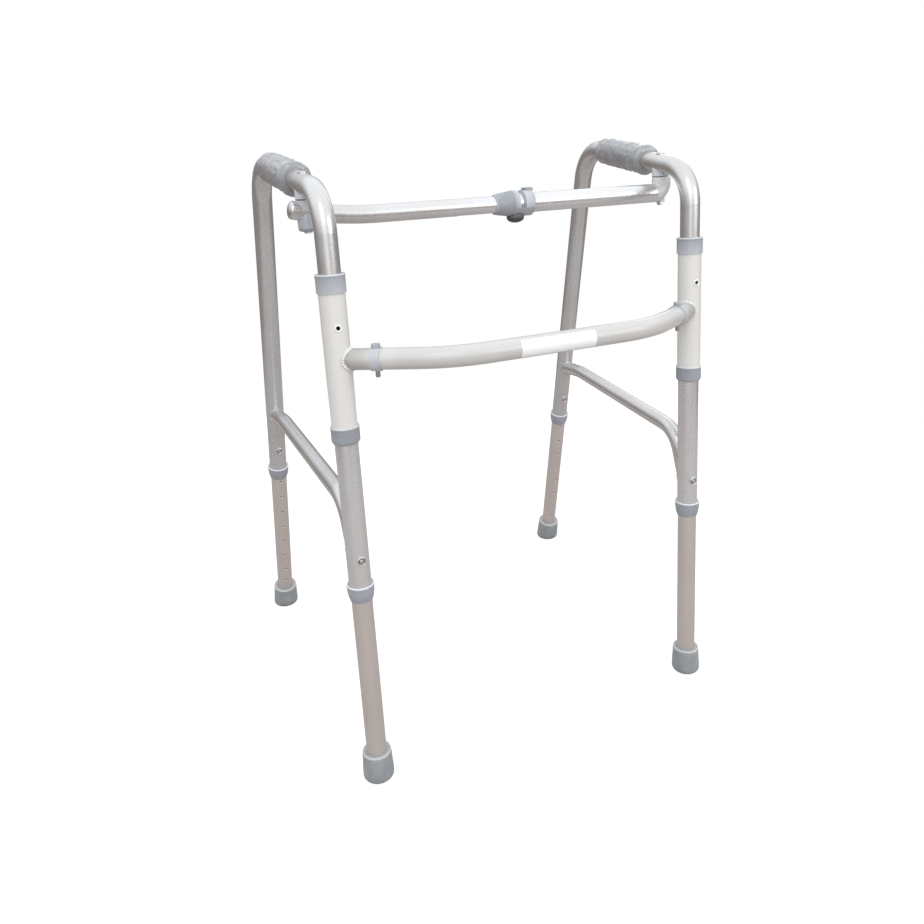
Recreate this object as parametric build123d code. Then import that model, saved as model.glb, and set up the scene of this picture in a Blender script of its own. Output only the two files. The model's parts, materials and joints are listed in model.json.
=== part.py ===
from build123d import *
import os
from math import atan, cos, radians, sin, tan

os.makedirs("parts", exist_ok=True)

# ---------------------------------------------------------------- driving dimensions, mm
# The walking frame stands on Z = 0 with its front towards -Y and its left side at -X.
# It is drawn with the two front legs on Y = 0; save() then shifts it so that the origin
# is the centre of its footprint.
LEG_SPACING = 500.0            # between the front leg axes
SPLAY = 3.75                   # outward turn of each side frame about its front leg, degrees

TUBE_R = 14.2                  # side frame tube in the legs and the rear of the handle
BEND_R = 13.0                  # the same tube, swaged down for the front bend
SWAGE_Z = 600.0                # where it narrows, inside the sleeve
SWAGE_BACK = 160.0             # where it widens again, inside the grip
SWAGE_LENGTH = 8.0
TUBE_WALL = 0.95
LEG_R = 13.2                   # leg extension, slides in the side frame tube
LEG_WALL = 1.0
BRACE_R = 11.1
BRACE_WALL = 1.2

# Side frame centre line, as (distance behind the front leg, height)
REAR_FOOT = 510.8              # rear leg axis at the floor
REAR_SLOPE = 0.27              # how far the rear leg leans forward for each mm of height
HANDLE_AT_FRONT = 758.7        # height of the handle axis produced to the front leg
HANDLE_SLOPE = 0.16            # the handle rises towards the rear
FRONT_BEND_R = 52.0
REAR_BEND_R = 60.0
FRONT_TUBE_END = 265.0         # lower end of the side frame tube, front
REAR_TUBE_END = 286.0          # the same at the rear

BRACE_AT_REAR = 402.0          # height where the brace meets the rear leg
BRACE_TOP = (335.0, 407.5)     # gentle bend near the rear leg
BRACE_CORNER = (30.0, 384.0)   # tight bend near the front leg
BRACE_FOOT = (2.0, 309.0)      # shallow run into the front leg
BRACE_RADII = [150.0, 46.0]

# Front frame: two sleeves that turn on the front legs, joined by a bowed bar
SLEEVE_R = 15.6
SLEEVE_BORE = 14.5
SLEEVE_LOW, SLEEVE_HIGH = 473.0, 664.0
SLEEVE_HOLE_Z = 608.5
SLEEVE_HOLE_R = 3.0
BUSH_R = 17.2
BUSH_LENGTH = 21.0
BUSH_FLANGE = 5.0
RUNNING = 0.05                 # radial clearance of a running fit
LOWER_BAR_Z = 569.5
LOWER_BAR_R = 12.7
LOWER_BAR_WALL = 1.5
LOWER_BAR_BOW = 74.0           # how far the bar stands in front of the legs
LOWER_BAR_ANGLE = 32.5         # run-out of the bar at each sleeve, degrees from X
LOWER_BAR_BEND_R = 150.0
CLIP_DISTANCE = 46.5           # clip centre from the leg axis, along the bar
CLIP_WIDTH = 11.5
CLIP_R = 14.1
CLIP_PAD_R = 5.2
CLIP_PAD_TOP = 18.0
CLIP_BOLT_R = 2.75
CLIP_BOLT_BELOW = 21.5
LABEL_LENGTH = 100.0
LABEL_CENTRE = -4.5
LABEL_HALF_ANGLE = 52.0
LABEL_THICKNESS = 0.3

# Upper bar: an inner tube that slides in an outer one, hung below the handles
PIVOT_BACK = 72.0              # pivot bolt behind the front leg
OUTER_BAR_R = 12.9
OUTER_BAR_WALL = 1.7
INNER_BAR_R = 11.1
INNER_BAR_WALL = 1.2
UPPER_BAR_Z = 729.3
INNER_OVERHANG = 17.0          # inner tube end beyond its pivot bolt
INNER_BAR_KNEE = -208.0        # X where the inner tube turns up to its pivot
INNER_BAR_RISE = 10.0          # degrees
INNER_BAR_TIP = 92.0           # X of the inner tube's hidden end
OUTER_BAR_START = 2.0
BOSS_R = 11.7
SADDLE_R = 12.3
ELBOW_OFFSET = 1.5             # elbow's upright axis outside the pivot bolt
ELBOW_BEND_R = 14.2            # its centre line
SPIGOT_LENGTH = 22.0
NUT_SEAT_R = 6.0
BOSS_BOTTOM = 752.6
SADDLE_TOP = 750.9
WASHER_R = 10.4
WASHER_CLEARANCE = 0.3         # between the washer and the saddle that turns below it
PIVOT_R = 3.0
NUT_TOP = 716.0
NUT_HEIGHT = 3.2

# Lock collar and its release button, on the outer bar
COLLAR_LEFT, COLLAR_CONE_END, COLLAR_RIGHT = -9.0, 13.0, 45.0
COLLAR_MOUTH_R, COLLAR_R = 13.3, 17.0
RELEASE_X = 22.0
RELEASE_R = 11.6
RELEASE_TRAVEL = 3.0
RELEASE_RIM = -18.4            # foot of the button's straight side, from the bar axis
RELEASE_DEPTH = 6.8            # its bowl below that
RELEASE_GAP = 0.3              # between the button's rim and the collar above it
RELEASE_PIN_R = 3.0

# Legs
HOLE_PITCH = 32.6
HOLE_R = 3.3
LEG_HOLE_R = 2.5
LEG_HOLES = 9
FRONT_BUTTON_Z = 319.0
REAR_BUTTON_Z = 340.2          # height above the floor
LEG_COLLAR_R = 17.0
LEG_COLLAR_LENGTH = 22.0
LEG_HIDDEN = 150.0             # leg extension inside the side frame tube
FOOT_R = {"front": 20.5, "rear": 21.6}
FOOT_HEIGHT = {"front": 39.5, "rear": 43.0}
FOOT_RIM_INSET = 1.9           # the rim is this much narrower than the foot
DRAIN_HOLE_UP = 22.0           # lowest hole above the rear foot's rim
FOOT_FLOOR = 8.0
SOLE_FILLET = 6.5
DISC_THICKNESS = 1.5

# Grip
GRIP_START, GRIP_END = 105.0, 229.0    # along the handle axis, from the front leg
GRIP_R = 18.9
GRIP_FLANGE_R = 21.8

# ---------------------------------------------------------------- derived places
SPLAY_RAD = radians(SPLAY)
REAR_LEAN = atan(REAR_SLOPE)
FRONT_REACH = LOWER_BAR_BOW + LOWER_BAR_R + LABEL_THICKNESS
REAR_REACH = REAR_FOOT * cos(SPLAY_RAD) + FOOT_R["rear"]
ORIGIN_SHIFT = (0.0, (FRONT_REACH - REAR_REACH) / 2, 0.0)
PIVOT_X = LEG_SPACING / 2 + PIVOT_BACK * sin(SPLAY_RAD)
PIVOT_Y = PIVOT_BACK * cos(SPLAY_RAD)
FRONT_LEG_PLANE = Plane((0, 0, 0))
REAR_LEG_PLANE = Plane((0, REAR_FOOT, 0), x_dir=(1, 0, 0), z_dir=(0, -sin(REAR_LEAN), cos(REAR_LEAN)))
LEFT_SIDE = Location((-LEG_SPACING / 2, 0, 0), (0, 0, SPLAY))


def handle_height(back):
    """Height of the handle axis at a distance behind the front leg."""
    return HANDLE_AT_FRONT + HANDLE_SLOPE * back


def rear_leg_back(height):
    """Distance of the rear leg axis behind the front leg, at a height."""
    return REAR_FOOT - REAR_SLOPE * height


# ---------------------------------------------------------------- helpers
def save(name, shape):
    """Write one node, a single solid or a group of separate solids."""
    solids = [s.moved(Location(ORIGIN_SHIFT)) for s in shape.solids()]
    export_step(solids[0] if len(solids) == 1 else Compound(solids), f"parts/{name}.step")


def save_pair(name, left):
    """Write a left node and its mirror image on the right."""
    save(f"{name}_left", left)
    save(f"{name}_right", mirror(left, about=Plane.YZ))


def upright(radius, low, high, x=0.0, y=0.0):
    """A vertical cylinder between two heights."""
    return Pos(x, y, (low + high) / 2) * Cylinder(radius, high - low)


def ring(outer, inner, low, high):
    """A vertical annulus between two heights, on the Z axis."""
    return upright(outer, low, high) - upright(inner, low - 1, high + 1)


def turned(points):
    """A solid turned about the Z axis from (radius, height) corners."""
    outline = make_face(Polyline([(r, 0, z) for r, z in points], close=True))
    return revolve(outline, Axis.Z)


def rod(path, radius):
    """A solid round bar along a path."""
    return sweep(Plane(origin=path @ 0, z_dir=path % 0) * Circle(radius), path=path)


def pipe(path, radius, wall):
    """A round tube along a path."""
    return rod(path, radius) - rod(path, radius - wall)


def along(start, end, radius):
    """A solid cylinder from one point to another."""
    axis = Vector(*end) - Vector(*start)
    return extrude(Plane(origin=start, z_dir=axis) * Circle(radius), axis.length)


def side_pair(name, shape):
    """Place a side frame piece on the left side and write both sides."""
    save_pair(name, LEFT_SIDE * shape)


# ---------------------------------------------------------------- side frames
handle_corner_height = (handle_height(REAR_FOOT)) / (1 + REAR_SLOPE * HANDLE_SLOPE)
swage_point = (0, SWAGE_BACK, handle_height(SWAGE_BACK))
FRONT_PATH = FilletPolyline(
    (0, 0, SWAGE_Z), (0, 0, HANDLE_AT_FRONT), swage_point, radius=FRONT_BEND_R
)
REAR_PATH = FilletPolyline(
    swage_point,
    (0, rear_leg_back(handle_corner_height), handle_corner_height),
    (0, rear_leg_back(REAR_TUBE_END), REAR_TUBE_END),
    radius=REAR_BEND_R,
)


def side_body(inset):
    """Solid core of the bent tube, its surface moved in by a wall."""
    leg = upright(TUBE_R - inset, FRONT_TUBE_END, SWAGE_Z)
    taper = Cone(TUBE_R - inset, BEND_R - inset, SWAGE_LENGTH)
    front_taper = Pos(0, 0, SWAGE_Z + SWAGE_LENGTH / 2) * taper
    towards_front = Plane(swage_point, x_dir=(1, 0, 0), z_dir=(0, -1, -HANDLE_SLOPE))
    rear_taper = towards_front.location * Pos(0, 0, SWAGE_LENGTH / 2) * taper
    bend = rod(FRONT_PATH, BEND_R - inset)
    return leg + front_taper + bend + rear_taper + rod(REAR_PATH, TUBE_R - inset)


side_rod = side_body(0)
front_leg_rod = upright(TUBE_R, 200, 600)
rear_leg_rod = REAR_LEG_PLANE.location * upright(TUBE_R, 200, 700)


def button_hole(radius, height, depth):
    """A forward-facing pin through one wall, at a height up the leg axis."""
    return along((0, 0, height), (0, -depth, height), radius)


REAR_BUTTON_UP = REAR_BUTTON_Z / cos(REAR_LEAN)
BUTTONS = {"front": (FRONT_LEG_PLANE, FRONT_BUTTON_Z), "rear": (REAR_LEG_PLANE, REAR_BUTTON_UP)}


def side_tube():
    """Front leg, handle and rear leg, bent from one tube."""
    tube = side_rod - side_body(TUBE_WALL)
    for plane, height in BUTTONS.values():
        tube -= plane.location * button_hole(HOLE_R, height, TUBE_R + 2)
    tube -= along((0, 0, SLEEVE_HOLE_Z), (0, -TUBE_R - 2, SLEEVE_HOLE_Z), SLEEVE_HOLE_R - 0.5)
    return tube - upright(PIVOT_R, BOSS_BOTTOM - 20, 820, y=PIVOT_BACK)


def side_brace():
    """Brace between the legs, cut to sit on both."""
    path = FilletPolyline(
        (0, rear_leg_back(BRACE_AT_REAR), BRACE_AT_REAR),
        (0, *BRACE_TOP),
        (0, *BRACE_CORNER),
        (0, *BRACE_FOOT),
        radius=BRACE_RADII,
    )
    return pipe(path, BRACE_R, BRACE_WALL) - front_leg_rod - rear_leg_rod


def grip():
    """Moulded hand grip: a shallow waist, and a flange at its front end."""
    length = (GRIP_END - GRIP_START) / cos(atan(HANDLE_SLOPE))
    corners = [
        (TUBE_R, 0), (GRIP_FLANGE_R - 1, 0), (GRIP_FLANGE_R, 2), (GRIP_FLANGE_R, 7),
        (GRIP_R - 0.4, 11), (GRIP_R, 26), (GRIP_R + 1.0, 0.5 * length), (GRIP_R, length - 26),
        (GRIP_R - 0.4, length - 14), (GRIP_R + 0.6, length - 9), (GRIP_R + 0.6, length - 3),
        (GRIP_R - 1, length), (TUBE_R, length),
    ]
    handle = Plane(
        (0, GRIP_START, handle_height(GRIP_START)), x_dir=(1, 0, 0), z_dir=(0, 1, HANDLE_SLOPE)
    )
    return handle.location * turned(corners) - side_rod


def bracket_boss():
    """Plastic boss below the handle, seated on the tube."""
    boss = upright(BOSS_R, BOSS_BOTTOM, handle_height(PIVOT_BACK) - 6, y=PIVOT_BACK)
    return boss - side_rod - upright(PIVOT_R, BOSS_BOTTOM - 5, 800, y=PIVOT_BACK)


def pivot_washer():
    """Dark washer between the boss and the saddle."""
    low = SADDLE_TOP + WASHER_CLEARANCE
    return Pos(0, PIVOT_BACK, 0) * ring(WASHER_R, PIVOT_R, low, BOSS_BOTTOM)


def pivot_bolt():
    """Bolt from the top of the handle, through boss, saddle and bar."""
    tube_top = handle_height(PIVOT_BACK) + BEND_R / cos(atan(HANDLE_SLOPE))
    head = turned([(0, -3), (5.6, -3), (5.6, 0.1), (4.8, 0.9), (2.8, 1.5), (0, 1.7)])
    head = Pos(0, PIVOT_BACK, tube_top) * head - side_rod
    shank = upright(PIVOT_R, NUT_TOP - NUT_HEIGHT - 0.8, tube_top + 1, y=PIVOT_BACK)
    return head + shank


def pivot_nut():
    """Lock nut under the bar."""
    nut = extrude(Plane((0, PIVOT_BACK, NUT_TOP - NUT_HEIGHT)) * RegularPolygon(5.2, 6), NUT_HEIGHT)
    return nut - upright(PIVOT_R, 700, 730, y=PIVOT_BACK)


def leg_collar(plane, tube_end):
    """Plastic collar on the lower end of the side frame tube, guiding the leg."""
    top = tube_end + LEG_COLLAR_LENGTH - 4
    low = tube_end - 4
    corners = [
        (LEG_R + RUNNING, low), (LEG_COLLAR_R - 3.0, low), (LEG_COLLAR_R - 1.5, low + 4.5),
        (LEG_COLLAR_R - 0.4, low + 10.0), (LEG_COLLAR_R, low + 14.0),
        (LEG_COLLAR_R, top - 3.5), (LEG_COLLAR_R + 0.5, top - 2.5), (LEG_COLLAR_R - 0.2, top),
        (TUBE_R, top), (TUBE_R, tube_end), (LEG_R + RUNNING, tube_end),
    ]
    return plane.location * turned(corners)


def button_rings():
    """Pressed rings round the two snap button holes."""
    rings = []
    for plane, height in BUTTONS.values():
        blank = button_hole(5.0, height, TUBE_R + 1.3) - button_hole(HOLE_R, height, TUBE_R + 3)
        rings.append(plane.location * (blank - upright(TUBE_R, height - 20, height + 20)))
    return Compound([s for r in rings for s in r.solids()])


side_pair("side_tube", side_tube())
side_pair("side_brace", side_brace())
side_pair("grip", grip())
side_pair("bracket_boss", bracket_boss())
side_pair("pivot_washer", pivot_washer())
side_pair("pivot_bolt", pivot_bolt())
side_pair("pivot_nut", pivot_nut())
side_pair("leg_collar_front", leg_collar(FRONT_LEG_PLANE, FRONT_TUBE_END))
side_pair("leg_collar_rear", leg_collar(REAR_LEG_PLANE, REAR_TUBE_END / cos(REAR_LEAN)))
side_pair("button_rings", button_rings())


# ---------------------------------------------------------------- legs, feet and snap buttons
def leg_tube(button_up, tube_end, foot_height, holes_to):
    """Leg extension with its row of height holes, on the front (-1) or the back (1)."""
    top = tube_end + LEG_HIDDEN
    tube = ring(LEG_R, LEG_R - LEG_WALL, FOOT_FLOOR + DISC_THICKNESS, top)
    tube -= button_hole(HOLE_R, button_up, LEG_R + 2)
    heights = [button_up - n * HOLE_PITCH for n in range(1, LEG_HOLES)]
    for height in heights + [foot_height + DRAIN_HOLE_UP]:
        tube -= along((0, 0, height), (0, holes_to * (LEG_R + 2), height), LEG_HOLE_R)
    return tube


def foot(radius, height):
    """Rubber foot: a cup with a rolled rim, longer than needed below the floor."""
    rim = radius - FOOT_RIM_INSET
    corners = [
        (0, -8), (radius, -8), (radius, 12), (rim + 0.7, height - 8), (rim + 0.9, height - 5.5),
        (rim, height - 1.5), (rim - 1.8, height), (LEG_R, height), (LEG_R, FOOT_FLOOR), (0, FOOT_FLOOR),
    ]
    return turned(corners)


def foot_disc():
    """Steel disc that keeps the tube from cutting through the rubber."""
    return upright(LEG_R - 0.4, FOOT_FLOOR, FOOT_FLOOR + DISC_THICKNESS)


def lock_spring(button_up):
    """U-shaped leaf spring inside the leg, its stud in the leg's hole behind the button."""
    arm, strip, half_width = 10.4, 0.8, 4.0
    low, high = button_up - 12, button_up + 34
    outer = [(-arm, low), (-arm, high), (arm, high), (arm, low)]
    inner = [(arm - strip, low), (arm - strip, high - strip), (strip - arm, high - strip), (strip - arm, low)]
    face = make_face(Polyline([(0, y, z) for y, z in outer + inner], close=True))
    stud = along((0, -arm + 0.3, button_up), (0, -LEG_R + 0.5, button_up), HOLE_R - 0.4)
    return extrude(face, half_width, dir=(1, 0, 0), both=True) + stud


def snap_button(height):
    """Domed snap button, in the ring on the side frame tube."""
    start, dome = TUBE_R + 0.7, TUBE_R + 2.9
    button = along((0, -start, height), (0, -dome, height), HOLE_R - 0.1)
    tip = button.edges().filter_by(GeomType.CIRCLE).sort_by(Axis.Y)[0]
    return fillet(tip, 1.2)


FLOOR_CUT = Pos(0, 300, -50) * Box(400, 1200, 100)
LEG_ENDS = {"front": (FRONT_TUBE_END, 1), "rear": (REAR_TUBE_END / cos(REAR_LEAN), -1)}

for end, (plane, button_up) in BUTTONS.items():
    tube_end, holes_to = LEG_ENDS[end]
    tube = leg_tube(button_up, tube_end, FOOT_HEIGHT[end], holes_to)
    side_pair(f"leg_tube_{end}", plane.location * tube)
    blank_foot = plane.location * foot(FOOT_R[end], FOOT_HEIGHT[end])
    sole_edges = (blank_foot - FLOOR_CUT).edges().group_by(Axis.Z)[0]
    shaped_foot = fillet(sole_edges, SOLE_FILLET)
    side_pair(f"foot_{end}", shaped_foot)
    side_pair(f"foot_disc_{end}", plane.location * foot_disc())
    side_pair(f"lock_spring_{end}", plane.location * lock_spring(button_up))
    side_pair(f"snap_button_{end}", plane.location * snap_button(button_up))


# ---------------------------------------------------------------- front frame
knee_x = LEG_SPACING / 2 - LOWER_BAR_BOW / tan(radians(LOWER_BAR_ANGLE))
LOWER_BAR_PATH = FilletPolyline(
    (-LEG_SPACING / 2, 0, LOWER_BAR_Z),
    (-knee_x, -LOWER_BAR_BOW, LOWER_BAR_Z),
    (knee_x, -LOWER_BAR_BOW, LOWER_BAR_Z),
    (LEG_SPACING / 2, 0, LOWER_BAR_Z),
    radius=LOWER_BAR_BEND_R,
)
CLIP_PLANE = Plane(
    (
        -LEG_SPACING / 2 + CLIP_DISTANCE * cos(radians(LOWER_BAR_ANGLE)),
        -CLIP_DISTANCE * sin(radians(LOWER_BAR_ANGLE)),
        LOWER_BAR_Z,
    ),
    x_dir=(0, 0, 1),
    z_dir=(cos(radians(LOWER_BAR_ANGLE)), -sin(radians(LOWER_BAR_ANGLE)), 0),
)
clip_x, clip_y = CLIP_PLANE.origin.X, CLIP_PLANE.origin.Y


def sleeve():
    """Tube that turns on the front leg, with its forward-facing hole."""
    tube = Pos(-LEG_SPACING / 2, 0, 0) * ring(SLEEVE_R, SLEEVE_BORE, SLEEVE_LOW, SLEEVE_HIGH)
    hole_start = (-LEG_SPACING / 2, 0, SLEEVE_HOLE_Z)
    return tube - along(hole_start, (-LEG_SPACING / 2, -SLEEVE_R - 2, SLEEVE_HOLE_Z), SLEEVE_HOLE_R)


def lower_bar():
    """Bowed bar between the sleeves, cut to sit on them."""
    bar = pipe(LOWER_BAR_PATH, LOWER_BAR_R, LOWER_BAR_WALL)
    for x in (-1, 1):
        bar -= upright(SLEEVE_R, 500, 650, x=x * LEG_SPACING / 2)
        bar -= upright(CLIP_BOLT_R, 500, 650, x=x * clip_x, y=clip_y)
    return bar


def top_bush():
    """Plastic bush: a cup over the sleeve's upper end, running on the narrowed tube."""
    low, high = SLEEVE_HIGH + BUSH_FLANGE - BUSH_LENGTH, SLEEVE_HIGH + BUSH_FLANGE
    cup = turned([
        (SLEEVE_R, low), (BUSH_R, low), (BUSH_R, high - 2.5), (BUSH_R + 0.4, high - 1.8),
        (BUSH_R, high), (BEND_R + RUNNING, high), (BEND_R + RUNNING, SLEEVE_HIGH), (SLEEVE_R, SLEEVE_HIGH),
    ])
    return Pos(-LEG_SPACING / 2, 0, 0) * cup


def bottom_bush():
    """Plastic bush: a chamfered cup over the sleeve's lower end, running on the leg."""
    low, high = SLEEVE_LOW - BUSH_FLANGE, SLEEVE_LOW - BUSH_FLANGE + BUSH_LENGTH
    cup = turned([
        (TUBE_R + RUNNING, low), (BUSH_R - 2.0, low), (BUSH_R, low + 3.5), (BUSH_R, high - 2.5),
        (BUSH_R + 0.4, high - 1.8), (BUSH_R, high), (SLEEVE_R, high), (SLEEVE_R, SLEEVE_LOW),
        (TUBE_R + RUNNING, SLEEVE_LOW),
    ])
    return Pos(-LEG_SPACING / 2, 0, 0) * cup


def bar_clip():
    """Plastic band round the bar, with a round pad on top."""
    band = CLIP_PLANE.location * Cylinder(CLIP_R, CLIP_WIDTH)
    pad = upright(CLIP_PAD_R, LOWER_BAR_Z, LOWER_BAR_Z + CLIP_PAD_TOP, x=clip_x, y=clip_y)
    bolt = upright(CLIP_BOLT_R, 500, 650, x=clip_x, y=clip_y)
    return band + pad - CLIP_PLANE.location * Cylinder(LOWER_BAR_R, 3 * CLIP_WIDTH) - bolt


def clip_bolt():
    """Pin through clip and bar, its end standing below the bar."""
    low, high = LOWER_BAR_Z - CLIP_BOLT_BELOW, LOWER_BAR_Z + CLIP_PAD_TOP - 1
    pin = upright(CLIP_BOLT_R, low, high, x=clip_x, y=clip_y)
    return chamfer(pin.edges().group_by(Axis.Z)[0], 0.6)


def label_plate():
    """Blank label on the front of the bar."""
    outer, inner = LOWER_BAR_R + LABEL_THICKNESS, LOWER_BAR_R
    low, high = 90 - LABEL_HALF_ANGLE, 90 + LABEL_HALF_ANGLE

    def on_circle(radius, angle):
        return (0, -radius * sin(radians(angle)), radius * cos(radians(angle)))

    edge = Wire([
        ThreePointArc(on_circle(outer, low), on_circle(outer, 90), on_circle(outer, high)),
        Line(on_circle(outer, high), on_circle(inner, high)),
        ThreePointArc(on_circle(inner, high), on_circle(inner, 90), on_circle(inner, low)),
        Line(on_circle(inner, low), on_circle(outer, low)),
    ])
    plate = extrude(make_face(edge), LABEL_LENGTH, dir=(1, 0, 0))
    return Pos(LABEL_CENTRE - LABEL_LENGTH / 2, -LOWER_BAR_BOW, LOWER_BAR_Z) * plate


save_pair("sleeve", sleeve())
save("lower_bar", lower_bar())
save_pair("sleeve_bush_top", top_bush())
save_pair("sleeve_bush_bottom", bottom_bush())
save_pair("bar_clip", bar_clip())
save_pair("clip_bolt", clip_bolt())
save("label_plate", label_plate())

# ---------------------------------------------------------------- upper bar
rise = tan(radians(INNER_BAR_RISE))
inner_end_x = -PIVOT_X - INNER_OVERHANG
inner_end_z = UPPER_BAR_Z + (INNER_BAR_KNEE - inner_end_x) * rise
INNER_PATH = FilletPolyline(
    (INNER_BAR_TIP, PIVOT_Y, UPPER_BAR_Z),
    (INNER_BAR_KNEE, PIVOT_Y, UPPER_BAR_Z),
    (inner_end_x, PIVOT_Y, inner_end_z),
    radius=480.0,
)
elbow_x = PIVOT_X + ELBOW_OFFSET
outer_end_x = elbow_x - ELBOW_BEND_R - 0.5
OUTER_PATH = Line((OUTER_BAR_START, PIVOT_Y, UPPER_BAR_Z), (outer_end_x, PIVOT_Y, UPPER_BAR_Z))
inner_rod = rod(INNER_PATH, INNER_BAR_R)
outer_rod = rod(OUTER_PATH, OUTER_BAR_R)
PIVOT_CLEAR = PIVOT_R + 0.08
pivot_holes = [upright(PIVOT_CLEAR, 690, 780, x=side * PIVOT_X, y=PIVOT_Y) for side in (-1, 1)]


def release_hole(radius, low, high):
    """A vertical cylinder on the release button's axis."""
    return upright(radius, UPPER_BAR_Z + low, UPPER_BAR_Z + high, x=RELEASE_X, y=PIVOT_Y)


def inner_bar():
    """Inner tube, slotted below so that it can slide past the release pin."""
    tube = pipe(INNER_PATH, INNER_BAR_R, INNER_BAR_WALL) - pivot_holes[0]
    slot_start, slot_end = RELEASE_X - 84, RELEASE_X + 6
    slot = Pos((slot_start + slot_end) / 2, PIVOT_Y, UPPER_BAR_Z - INNER_BAR_R)
    return tube - slot * Box(slot_end - slot_start, 2 * RELEASE_PIN_R + 1.2, 6)


def outer_bar():
    """Outer tube, with the release pin's hole below."""
    return pipe(OUTER_PATH, OUTER_BAR_R, OUTER_BAR_WALL) - release_hole(3.6, -20, 0)


def end_cap():
    """Domed plug in the left end of the inner tube."""
    bore = INNER_BAR_R - INNER_BAR_WALL
    dome = [(0, -6), (bore, -6), (bore, 0), (INNER_BAR_R, 0)]
    steps = 6
    for n in range(1, steps + 1):
        angle = radians(90 * n / steps)
        dome.append((INNER_BAR_R * cos(angle), 0.5 * INNER_BAR_R * sin(angle)))
    end = Plane((inner_end_x, PIVOT_Y, inner_end_z), x_dir=(0, 1, 0), z_dir=(-1, 0, rise))
    return end.location * turned(dome)


def saddle_left():
    """Plastic spacer between boss and inner bar, hollowed to the bar."""
    block = upright(SADDLE_R, inner_end_z - 2, SADDLE_TOP, x=-PIVOT_X, y=PIVOT_Y)
    return (block - inner_rod - pivot_holes[0]).solids().sort_by(Axis.Z)[-1]


def saddle_lower_left():
    """Rounded spacer below the inner bar, with a pocket for the nut."""
    block = upright(SADDLE_R - 1.0, NUT_TOP - 1.5, inner_end_z - 5, x=-PIVOT_X, y=PIVOT_Y)
    block = fillet(block.edges().group_by(Axis.Z)[0], 4.0)
    pocket = upright(6.4, NUT_TOP - 10, NUT_TOP + 0.4, x=-PIVOT_X, y=PIVOT_Y)
    return (block - inner_rod - pivot_holes[0] - pocket).solids().sort_by(Axis.Z)[0]


def elbow_right():
    """Plastic elbow from the boss down to the outer bar, with a spigot in the bar's bore."""
    path = FilletPolyline(
        (elbow_x, PIVOT_Y, SADDLE_TOP), (elbow_x, PIVOT_Y, UPPER_BAR_Z),
        (outer_end_x, PIVOT_Y, UPPER_BAR_Z), radius=ELBOW_BEND_R,
    )
    spigot_start = (outer_end_x - SPIGOT_LENGTH, PIVOT_Y, UPPER_BAR_Z)
    spigot = along(spigot_start, (outer_end_x + 1, PIVOT_Y, UPPER_BAR_Z), OUTER_BAR_R - OUTER_BAR_WALL)
    seat = upright(NUT_SEAT_R, NUT_TOP, UPPER_BAR_Z, x=PIVOT_X, y=PIVOT_Y)
    return rod(path, OUTER_BAR_R) + spigot + seat - pivot_holes[1]


def lock_collar():
    """Cone and barrel round the sliding joint, with a window, a lug and the button's bore."""
    collar = turned([
        (0, COLLAR_LEFT), (COLLAR_MOUTH_R - 0.8, COLLAR_LEFT), (COLLAR_MOUTH_R, COLLAR_LEFT + 2),
        (COLLAR_R - 0.6, COLLAR_CONE_END), (COLLAR_R, COLLAR_CONE_END + 3), (COLLAR_R, COLLAR_RIGHT - 1.5),
        (COLLAR_R - 1, COLLAR_RIGHT), (0, COLLAR_RIGHT),
    ])
    collar = Plane((0, PIVOT_Y, UPPER_BAR_Z), x_dir=(0, 1, 0), z_dir=(1, 0, 0)).location * collar
    collar += Pos(41.0, PIVOT_Y, UPPER_BAR_Z + COLLAR_R + 0.4) * Box(11, 12, 4.4)
    collar -= Pos(27.2, PIVOT_Y - 10, UPPER_BAR_Z + 5) * Box(8, 20, 22)
    collar -= Pos(27.2, PIVOT_Y, UPPER_BAR_Z + 16) * Box(8, 16, 12)
    collar -= outer_rod + rod(INNER_PATH, INNER_BAR_R + 0.1)
    collar -= release_hole(RELEASE_R + 0.15, -25, -2) - rod(OUTER_PATH, COLLAR_R - RELEASE_TRAVEL - RELEASE_GAP)
    return collar - release_hole(3.6, -25, 0)


def release_button():
    """Bowl-shaped push button, its rim saddled to the collar, with its lock pin."""
    steps = 8
    bowl = [(0, -5), (RELEASE_R, -5)]
    for n in range(steps + 1):
        angle = radians(90 * n / steps)
        bowl.append((RELEASE_R * cos(angle), RELEASE_RIM - RELEASE_DEPTH * sin(angle)))
    knob = Pos(RELEASE_X, PIVOT_Y, UPPER_BAR_Z) * turned(bowl) - rod(OUTER_PATH, COLLAR_R + RELEASE_GAP)
    pin = release_hole(RELEASE_PIN_R, -COLLAR_R - 2, -INNER_BAR_R + 0.2)
    return knob.solids().sort_by(Axis.Z)[0] + pin


save("bar_inner", inner_bar())
save("bar_outer", outer_bar())
save("bar_cap_left", end_cap())
save("saddle_left", saddle_left())
save("saddle_lower_left", saddle_lower_left())
save("elbow_right", elbow_right())
save("lock_collar", lock_collar())
save("release_button", release_button())
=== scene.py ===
"""Looks of the walking frame: materials, moulded grips, bowed bar, welds, rims and lips.

The floor, the lights and the camera follow at the end.
"""

import json
import math

import bmesh
import bpy
from mathutils import Matrix, Vector, noise


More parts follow.
